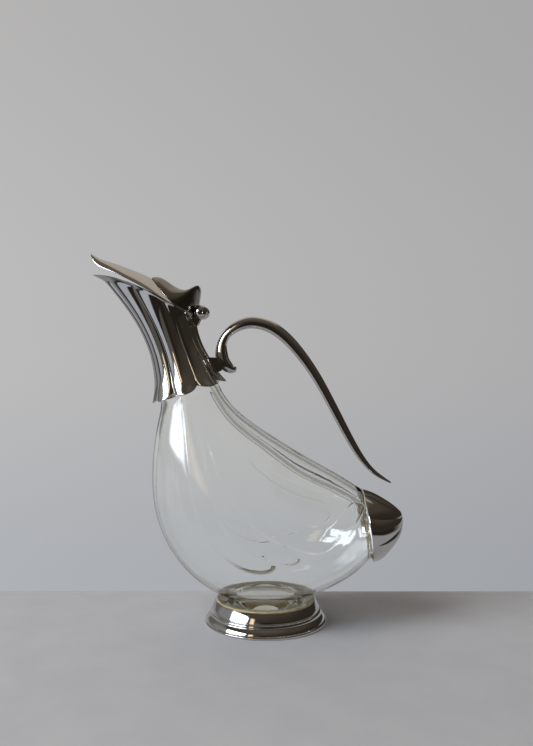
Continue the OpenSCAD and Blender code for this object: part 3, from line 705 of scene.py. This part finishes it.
def plate(upper, lower):
    """A closed plate between two grids, its edge rounded off all round."""
    rows, cols = upper.shape[:2]
    order = ([(0, j) for j in range(cols)] + [(i, cols - 1) for i in range(1, rows)]
             + [(rows - 1, j) for j in range(cols - 2, -1, -1)] + [(i, 0) for i in range(rows - 2, 0, -1)])
    i, j = np.array(order).T
    i_in, j_in = np.clip(i, 1, rows - 2), np.clip(j, 1, cols - 2)
    points = [upper.reshape(-1, 3), lower.reshape(-1, 3)]
    faces = quads(rows, cols, closed=False)
    faces += [[v + rows * cols for v in f[::-1]] for f in faces]
    edge = rolled(upper[i, j], lower[i, j], (upper[i_in, j_in] + lower[i_in, j_in]) / 2, 3)
    loop = [i * cols + j] + [2 * rows * cols + k * len(order) + np.arange(len(order)) for k in range(3)]
    loop += [i * cols + j + rows * cols]
    for a, b in zip(loop, loop[1:]):
        faces += np.stack([a, b, np.roll(b, -1), np.roll(a, -1)], -1).tolist()
    return np.vstack(points + edge), faces


def lid():
    t = np.concatenate([np.linspace(0, 10, 90), np.linspace(10.05, LID_END - 0.05, 24)])
    across = np.sin(np.radians(np.linspace(-90, 90, 81)))
    v = np.broadcast_to(across, (len(t), len(across)))
    inset = np.minimum(1, (LID_END + 0.2 - t) / 1.2)[:, None] * LID_WALL
    points, faces = plate(lid_points(t, v, 0), lid_points(t, v, inset))
    piece("lid_cast", points, faces, SILVER, "lid", "silver_plate", "lid", sharp=40)


def lid_crest():
    """The saddle on the lid, with a horn at its back, a dip for the thumb and a front point."""
    rows = np.linspace(0, len(CREST) - 1, 110)
    t = np.interp(rows, range(len(COVER_T)), COVER_T)
    share = at(spline([[c] for c in COVER]), rows)
    k = np.sin(np.radians(np.linspace(-90, 90, 61)))
    v = share * k
    under = lid_points(t, v, 0)
    top = at(spline(CREST), rows)
    middle = under[:, len(k) // 2]
    roof = smooth_step(4.0, 6.5, rows)[:, None]     # steep sides behind, sloping like a roof in front
    bulge = np.maximum(0, 1 - np.abs(k) ** (6 - 4.6 * roof)) ** (0.36 + 0.6 * roof)
    top_z = np.maximum(HINGE[2] + top[:, 1], middle[:, 2] + CREST_EDGE + 0.3)
    x = under[..., 0] + (HINGE[0] + top[:, 0:1] - under[..., 0]) * bulge
    z = (under[..., 2] + CREST_EDGE) + (top_z[:, None] - under[..., 2] - CREST_EDGE) * bulge
    over = np.stack([x, under[..., 1], z], -1)
    points, faces = plate(over, under)
    # the crest takes the darker copy of the silver, as painted shade
    piece("lid_crest_cast", points, faces, SHADED_SILVER, "lid", "silver_plate", "lid_crest", sharp=50)


# ---------- hinge ----------
PIN_R, FINIAL_R = 1.25, 5.1
HINGE_HALF = 3 + 0.25 + 3       # half the lid's knuckle, a gap and an ear's knuckle


def finials():
    """The two round ends of the hinge pin, each with a dimple in its middle."""
    n, r = 96, FINIAL_R
    seat, middle = HINGE_HALF, HINGE_HALF + FINIAL_R * 0.87
    start, stop = np.degrees(np.arccos((seat - middle) / r)), 24
    ball = [(r * np.sin(w), middle + r * np.cos(w)) for w in np.radians(np.linspace(start, stop, 40))]
    top = ball[-1][1]
    hole = [(1.86, top + 0.1), (1.64, top + 0.04), (1.45, top - 0.25), (1.35, top - 0.8), (1.3, top - 3.4),
            (0.9, top - 3.9), (0.4, top - 4.0)]
    profile = np.array([(PIN_R, seat), (ball[0][0] - 0.3, seat)] + ball + hole)
    a = np.radians(turn(n))
    all_points, all_faces = [], []
    for side in (-1, 1):
        rings = np.stack([HINGE[0] + profile[:, :1] * np.cos(a),
                          side * np.repeat(profile[:, 1:], n, 1),
                          HINGE[2] + profile[:, :1] * np.sin(a)], -1)
        ends = [[HINGE[0], side * p, HINGE[2]] for p in (seat, profile[-1, 1])]
        points, faces = tube(rings, *ends)
        base = sum(len(p) for p in all_points)
        all_points.append(points)
        all_faces += [[v + base for v in f] for f in (faces if side > 0 else [f[::-1] for f in faces])]
    piece("hinge_finials_turned", np.vstack(all_points), all_faces, SILVER, "jug", "silver_plate",
          "hinge_finials", sharp=45)


# ---------- handle ----------
HANDLE_W, HANDLE_T = 10.5, 9.0
# Centre x, z from the neck, and thickness
HANDLE = spline([
    [33.6, 16.7, 5.4], [31.6, 17.1, 7.2], [28.5, 19.4, 9.2], [25.6, 23.3, 9.8], [24.5, 29, 9.7],
    [24.9, 36, 7.5], [28.2, 42.7, 6.6], [34.5, 48.2, 7.8], [42.3, 51.4, 8.7], [50.2, 52, 9],
    [62, 48.8, 9], [74, 40.1, 8.7], [85.5, 27, 7.9], [97, 10.5, 7.2], [109, -11.4, 6.7],
    [120.8, -34, 6.2], [129.5, -48.6, 5.2], [138, -59.3, 3.9], [145.6, -65.2, 2.9], [153.4, -69.8, 1.2]])
HANDLE_END = 19


def handle():
    """Its upper side is full and its lower side shallow, with a crease along each flank."""
    quarter = np.concatenate([[0, 0.6, 1.6, 3, 5, 8], np.linspace(12, 90, 14)])
    a = np.radians(np.concatenate([90 - quarter[::-1], 90 + quarter[1:], 270 - quarter[-2::-1],
                                   270 + quarter[1:-1]]))
    close = np.array([0.03, 0.1, 0.18, 0.28])
    t = np.concatenate([close, np.linspace(0.4, HANDLE_END - 0.4, 240), HANDLE_END - close[::-1]])
    row = at(HANDLE, t)
    along = unit(at(HANDLE, t + 0.02)[:, :2] - at(HANDLE, t - 0.02)[:, :2])
    up = np.stack([-along[:, 1], along[:, 0]], -1)
    thick = row[:, 2:3]
    width = HANDLE_W * (thick / HANDLE_T) ** 0.7
    full = (np.cos(a) ** 2) ** 0.42
    out = np.where(np.cos(a) > 0, 0.66, -0.34) * thick * full - 0.16 * thick
    rings = np.stack([NECK[0] + row[:, :1] + up[:, :1] * out, -width / 2 * np.sin(a),
                      NECK[1] + row[:, 1:2] + up[:, 1:] * out], -1)
    ends = []
    for ring, way in ((rings[0], -along[0]), (rings[-1], along[-1])):
        centre, way = ring.mean(axis=0), np.array([way[0], 0, way[1]])
        reach = 0.7 * np.ptp(ring[:, 1]) / 2
        ends.append((np.stack([centre + (ring - centre) * np.cos(w) + way * reach * np.sin(w)
                               for w in np.radians((18, 36, 54, 72, 84))]), centre + way * reach))
    rings = np.concatenate([ends[0][0][::-1], rings, ends[1][0]])
    points, faces = tube(rings, ends[0][1], ends[1][1])
    piece("handle_cast", points, faces, SILVER, "jug", "silver_plate", "handle", sharp=75)


# ---------- tail cap ----------
CAP_WALL = 1.2
# Along the cap, up from its axis, half height, half width, depth of the lobes
CAP = spline([
    [0, 0, 28.15, 28, 0.02], [6.6, -1.2, 25.95, 26.2, 0.065], [13.2, -1.2, 21.1, 21.8, 0.08],
    [19.2, -0.9, 15.7, 16.2, 0.09], [24, -0.1, 9.9, 10.2, 0.1], [26.5, 1.9, 4.4, 4.6, 0.1]])
CAP_END = 5


def cap_points(t, a):
    s = at(CAP, t)
    rad = np.radians(a)
    p = 1 - s[:, 4:5] * (1 - petal(a) ** 0.8)
    up = s[:, 1:2] + s[:, 2:3] * p * np.cos(rad)
    q = TAIL + s[:, :1, None] * TAIL_DIR + up[..., None] * TAIL_UP
    return np.stack([q[..., 0], -s[:, 3:4] * p * np.sin(rad), q[..., 1]], -1)


def cap_inside(t, a):
    across = cap_points(t, a + 2) - cap_points(t, a - 2)
    along = cap_points(t + 0.03, a) - cap_points(t - 0.03, a)
    return cap_points(t, a) - CAP_WALL * unit(np.cross(across, along))


def tail_cap():
    a = turn()
    outer = cap_points(np.linspace(0, CAP_END, 90), a)
    inner = cap_inside(np.linspace(0.02, 4.4, 50), a)
    rings = np.concatenate([inner[::-1], rolled(inner[0], outer[0], (inner[3] + outer[3]) / 2), outer])
    tip = TAIL + 27.1 * TAIL_DIR + 2.9 * TAIL_UP
    under = tip - (CAP_WALL + 0.6) * TAIL_DIR - 0.6 * TAIL_UP
    points, faces = tube(rings, [under[0], 0, under[1]], [tip[0], 0, tip[1]])
    piece("tail_cap_cast", points, faces, SILVER, "jug", "silver_plate", "tail_cap", sharp=32)


def tail_cement():
    """The cement between the glass tail and the cap, seen as a yellow line at the cap's rim."""
    a = turn()
    outer = cap_inside(np.linspace(0.9, 0.2, 14), a)
    inner = section(np.array([tail_row(s, 1 + (TAIL_K - 1) * s / TAIL_IN, CONTACT)
                              for s in (1.4, 2.0, 3.0, 4.0, 5.0, 6.0)]), a)
    points, faces = tube(np.concatenate([outer, inner]))
    piece("tail_cement_ring", points, faces, CEMENT, "jug", "cement", "tail_cement", sharp=60)


# ---------- small pieces that keep their CAD shape ----------
def paint_node(node, paint):
    """A CAD node whose shape is right keeps it and takes its material."""
    data = frame["nodes"][node].data
    data.materials.clear()
    data.materials.append(paint)


glass_body()
foot()
foot_cement()
neck_mount()
lid()
lid_crest()
finials()
handle()
tail_cap()
tail_cement()
for kept in ("hinge_base", "lid_knuckle", "handle_bracket", "hinge_pin"):
    paint_node(kept, SILVER)
paint_node("neck_cement", CEMENT)


# ---------- floor, light and camera ----------
EDGE_Y = 0.071                  # the pale floor changes tone this far behind the foot's centre, in metres
ROOM_DARK = (0.022, 0.018, 0.014, 1)            # the room in front of the jug
ROOM_DIM = (0.075, 0.063, 0.051, 1)             # the room higher up and to the right
SILL = (0.50, 0.54, 0.61, 1)                    # the bluish light low beside the window
THROUGH = (1.14, 1.14, 1.12, 1)                 # what is seen through the glass, against seen directly


def background(n, height, side):
    """The wall's tone, palest near the horizon and to the left. height and side are slopes of the ray."""
    low = n.mix(n.ramp(height, -0.30, 0.0), (0.425, 0.442, 0.470, 1), (0.500, 0.497, 0.500, 1))
    tone = n.mix(n.ramp(height, 0.05, 0.45), low, (0.460, 0.452, 0.452, 1))
    fall = n.mix(n.ramp(side, -0.40, 0.40, smooth=False), (1.02, 1.02, 1.015, 1), (0.815, 0.815, 0.825, 1))
    return n.mix(1.0, tone, fall, "MULTIPLY")


def floor_material():
    material = bpy.data.materials.new("floor")
    n = Nodes(material)
    path = n.add("ShaderNodeLightPath")
    geometry = n.add("ShaderNodeNewGeometry")
    place = n.add("ShaderNodeSeparateXYZ")
    n.link(geometry.outputs["Position"], place.inputs[0])
    distance = n.add("ShaderNodeVectorMath", operation="LENGTH")
    n.link(geometry.outputs["Position"], distance.inputs[0])
    distance = distance.outputs["Value"]

    # the table: pale cloth, mirrored as an even tone that ends in the dark of the room
    cloth = n.add("ShaderNodeBsdfDiffuse")
    weave = n.ramp(n.noise(30.0, 3.0), 0.3, 0.7)
    tone = n.mix(weave, (0.650, 0.660, 0.692, 1), (0.682, 0.690, 0.716, 1))
    n.link(tone, cloth.inputs["Color"])
    # Seen through the glass: painted shade inside the foot, dimmer in the middle with a darker brownish ring,
    # and the pale cloth beyond
    through = n.mix(n.ramp(distance, 0.0205, 0.0225), (0.29, 0.29, 0.28, 1), (0.25, 0.235, 0.18, 1))
    through = n.mix(n.ramp(distance, 0.0325, 0.0335), through, (0.41, 0.415, 0.43, 1))
    forward = n.math("MULTIPLY", place.outputs["Y"], -1.0)
    ahead = n.math("DIVIDE", forward, n.math("MAXIMUM", distance, 0.01))
    # a painted pool of bluish window light on the far table to the left, seen in reflections
    window_side = n.math("MULTIPLY", n.ramp(ahead, 0.02, 0.12), n.ramp(ahead, 0.62, 0.54))
    window_side = n.math("MULTIPLY", window_side, n.ramp(place.outputs["X"], -0.10, -0.20))
    beyond = n.mix(n.ramp(ahead, 0.0, -0.45), ROOM_DARK, (0.30, 0.305, 0.32, 1))
    beyond = n.mix(window_side, beyond, SILL)
    mirrored = n.mix(n.ramp(distance, 0.24, 0.34), (0.33, 0.335, 0.35, 1), beyond)
    even = n.add("ShaderNodeEmission")
    n.link(n.mix(path.outputs["Is Transmission Ray"], mirrored, through), even.inputs["Color"])
    base = n.add("ShaderNodeMixShader")
    indirect = n.math("MAXIMUM", path.outputs["Is Glossy Ray"], path.outputs["Is Transmission Ray"])
    n.link(indirect, base.inputs[0])
    n.link(cloth.outputs[0], base.inputs[1])
    n.link(even.outputs[0], base.inputs[2])

    # behind its far edge the wall's tone goes on
    wall = n.add("ShaderNodeEmission")
    away = n.math("ADD", place.outputs["Y"], -CAMERA[1])
    tone = background(n, n.math("DIVIDE", -CAMERA[2], away), n.math("DIVIDE", place.outputs["X"], away))
    tone = n.mix(path.outputs["Is Transmission Ray"], tone, n.mix(1.0, tone, THROUGH, "MULTIPLY"))
    n.link(tone, wall.inputs["Color"])
    seen = n.math("MAXIMUM", path.outputs["Is Camera Ray"], path.outputs["Is Transmission Ray"])
    far = n.math("MULTIPLY", n.ramp(place.outputs["Y"], EDGE_Y - 0.001, EDGE_Y + 0.001), seen)
    mix = n.add("ShaderNodeMixShader")
    n.link(far, mix.inputs[0])
    n.link(base.outputs[0], mix.inputs[1])
    n.link(wall.outputs[0], mix.inputs[2])
    n.link(mix.outputs[0], n.add("ShaderNodeOutputMaterial").inputs["Surface"])
    return material


def floor():
    near, far, side = -1.2, 150.0, 80.0
    mesh = bpy.data.meshes.new("floor")
    corners = [(-side, near, 0), (side, near, 0), (side, far, 0), (-side, far, 0)]
    mesh.from_pydata(corners, [], [[0, 1, 2, 3]])
    mesh.materials.append(floor_material())
    obj = bpy.data.objects.new("floor", mesh)
    bpy.context.scene.collection.objects.link(obj)


def patch(n, view, colour, centre, half_w, half_h, soft, under):
    """A soft-edged bright pane in the surroundings, straight ahead along centre."""
    c = unit(np.array(centre, float))
    right = unit(np.cross(c, [0, 0, 1.0]))
    up = np.cross(right, c)
    ahead = n.math("MAXIMUM", n.dot(view, c), 0.001)
    u = n.math("ABSOLUTE", n.math("DIVIDE", n.dot(view, right), ahead))
    v = n.math("ABSOLUTE", n.math("DIVIDE", n.dot(view, up), ahead))
    across = n.ramp(u, half_w + soft, half_w - soft)
    mask = n.math("MULTIPLY", across, n.ramp(v, half_h + soft, half_h - soft))
    mask = n.math("MULTIPLY", mask, n.ramp(ahead, 0.01, 0.05))
    return n.mix(mask, under, colour)


def surroundings():
    """A room: pale wall behind, dark in front and to the right, and a wide window to the left."""
    world = bpy.data.worlds.new("studio")
    bpy.context.scene.world = world
    n = Nodes(world)
    view = n.add("ShaderNodeTexCoord").outputs["Generated"]
    axes = n.add("ShaderNodeSeparateXYZ")
    n.link(view, axes.inputs[0])
    x, y, z = axes.outputs
    path = n.add("ShaderNodeLightPath")
    mirrors = path.outputs["Is Glossy Ray"]
    through = path.outputs["Is Transmission Ray"]
    direct = background(n, z, x)
    wall = n.mix(n.ramp(z, 0.52, 0.68), direct, (0.50, 0.445, 0.385, 1))
    wall = n.mix(n.ramp(x, -0.45, -0.62), wall, (0.14, 0.137, 0.130, 1))
    front = n.mix(n.ramp(z, 0.30, 0.60), ROOM_DARK, ROOM_DIM)
    front = n.mix(n.ramp(z, 0.70, 0.90), front, (0.14, 0.118, 0.096, 1))
    beside = n.math("MULTIPLY", n.ramp(x, -0.12, -0.30), n.ramp(z, 0.45, 0.30))
    front = n.mix(beside, front, (0.115, 0.108, 0.096, 1))
    rise = n.ramp(z, 0.55, 0.80)
    colour = n.mix(n.ramp(n.math("SUBTRACT", y, n.math("MULTIPLY", rise, 0.18)), 0.0, 0.14), front, wall)
    right = n.mix(n.ramp(z, 0.3, 0.7), (0.035, 0.029, 0.023, 1), ROOM_DIM)
    colour = n.mix(n.ramp(n.math("SUBTRACT", x, n.math("MULTIPLY", rise, 0.3)), 0.14, 0.30), colour, right)
    left = n.math("MULTIPLY", n.ramp(x, -0.78, -0.92), n.ramp(z, 0.0, 0.1))
    colour = n.mix(left, colour, (0.27, 0.275, 0.285, 1))
    # bent far through the glass's edge, the wall has ended
    bent = n.mix(n.ramp(y, 0.92, 0.80), direct, (0.165, 0.170, 0.150, 1))
    colour = n.mix(through, colour, bent)
    low = n.math("MULTIPLY", n.ramp(y, -0.02, -0.12), n.ramp(y, -0.62, -0.54))
    low = n.math("MULTIPLY", n.math("MULTIPLY", low, n.ramp(x, -0.30, -0.45)), n.ramp(z, 0.09, 0.03))
    colour = n.mix(low, colour, SILL)
    glare = n.mix(n.math("MAXIMUM", mirrors, through), (4.0, 4.4, 5.0, 1), (7.5, 8.2, 9.2, 1))
    colour = patch(n, view, glare, (-0.80, -0.455, 0.34), 0.335, 0.20, 0.02, colour)
    colour = patch(n, view, (1.5, 1.18, 0.82, 1), (-0.46, -0.825, 0.325), 0.07, 0.20, 0.02, colour)
    colour = n.mix(through, colour, n.mix(1.0, colour, THROUGH, "MULTIPLY"))
    strength = n.add("ShaderNodeBackground")
    n.link(n.mix(path.outputs["Is Camera Ray"], colour, direct), strength.inputs["Color"])
    n.link(strength.outputs[0], n.add("ShaderNodeOutputWorld").inputs["Surface"])


def lamp(name, place, aim, size, energy, colour):
    """A soft lamp that lights the floor and the cement, and isn't mirrored in the metal or glass."""
    data = bpy.data.lights.new(name, "AREA")
    data.shape, data.size, data.energy, data.color = "DISK", size, energy, colour
    obj = bpy.data.objects.new(name, data)
    bpy.context.scene.collection.objects.link(obj)
    obj.location = place
    direction = Vector(aim) - Vector(place)
    obj.rotation_euler = direction.to_track_quat("-Z", "Y").to_euler()
    obj.visible_glossy = False
    obj.visible_transmission = False


def camera():
    focal_px, frame_h = 820.0, 746.0
    data = bpy.data.cameras.new("camera")
    data.sensor_width = 36.0
    data.lens = focal_px / frame_h * data.sensor_width
    data.clip_start, data.clip_end = 0.01, 500.0
    obj = bpy.data.objects.new("camera", data)
    bpy.context.scene.collection.objects.link(obj)
    obj.location = CAMERA
    obj.rotation_euler = (radians(90 - TILT), 0, 0)
    bpy.context.scene.camera = obj


floor()
surroundings()
lamp("key", (-0.9, -0.5, 1.3), (0, 0, 0.1), 1.0, 10.0, (1.0, 0.99, 0.97))
camera()
bpy.context.scene.view_settings.view_transform = "Standard"
